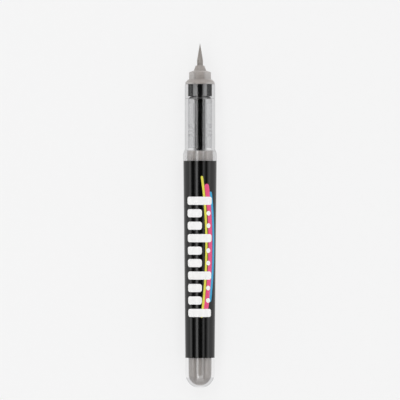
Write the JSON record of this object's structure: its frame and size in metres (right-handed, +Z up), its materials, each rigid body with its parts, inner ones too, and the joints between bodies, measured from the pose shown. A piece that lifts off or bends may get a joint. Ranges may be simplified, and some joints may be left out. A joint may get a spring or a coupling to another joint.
{
  "type": "brush marker",
  "caption": "Clear-bodied calligraphy marker with a pointed brush tuft, a collector-fed front section that pulls out of its tapered ink barrel, and a black label film.",
  "frame": {"origin": "on the surface the marker lies on, under the middle of its overall length", "axes": "+Y along the marker's axis, towards the point of the tuft; +Z up; the axis is at z = 6.42 mm, the radius of the barrel's front band"},
  "size_m": [0.0128, 0.1316, 0.0128],
  "materials": {
    "clear_plastic": "clear polished polycarbonate",
    "natural_plastic": "unpigmented, milky polypropylene",
    "ink": "opaque warm-grey liquid pigment ink",
    "label_film": "glossy printed shrink film",
    "holder_grey": "satin moulded plastic, coloured as the ink",
    "black_plastic": "satin moulded plastic",
    "black_fibre": "pressed fibre",
    "black_film": "thin glossy film",
    "wick_fibre": "bonded fibre soaked with ink",
    "seal_rubber": "soft translucent silicone",
    "tuft_fibre": "fine tapered nylon filaments, stained by the ink",
    "white_plastic": "satin moulded plastic"
  },
  "bodies": {
    "barrel": {"barrel": "clear_plastic", "ink_charge": "ink", "label_sleeve": "label_film", "socket_gasket": "seal_rubber"},
    "front_unit": {"collector_housing": "clear_plastic", "front_tube": "clear_plastic", "collector_washer": "seal_rubber", "regulator": "natural_plastic", "feed_tube": "black_plastic", "feed_wick": "wick_fibre", "feed_grommet": "seal_rubber", "buffer_ring": "black_fibre", "buffer_wrap": "black_film", "nib_holder": "holder_grey", "tuft_retainer": "white_plastic", "tuft_root": "tuft_fibre"},
    "brush_belly": {"brush_lower": "tuft_fibre"},
    "brush_point": {"brush_tip": "tuft_fibre"}
  },
  "joints": [
    {"name": "section_pull", "type": "slide", "parent": "barrel", "child": "front_unit", "axis": [0, 1, 0], "range_m": [0, 0.008]},
    {"name": "belly_bend", "type": "hinge", "parent": "front_unit", "child": "brush_belly", "pos_m": [0, 0.0576, 0.00642], "axis": [1, 0, 0], "range_deg": [-25, 25], "stiffness_Nm_per_rad": 0.0015},
    {"name": "point_bend", "type": "hinge", "parent": "brush_belly", "child": "brush_point", "pos_m": [0, 0.0618, 0.00642], "axis": [1, 0, 0], "range_deg": [-35, 35], "stiffness_Nm_per_rad": 0.0003}
  ]
}
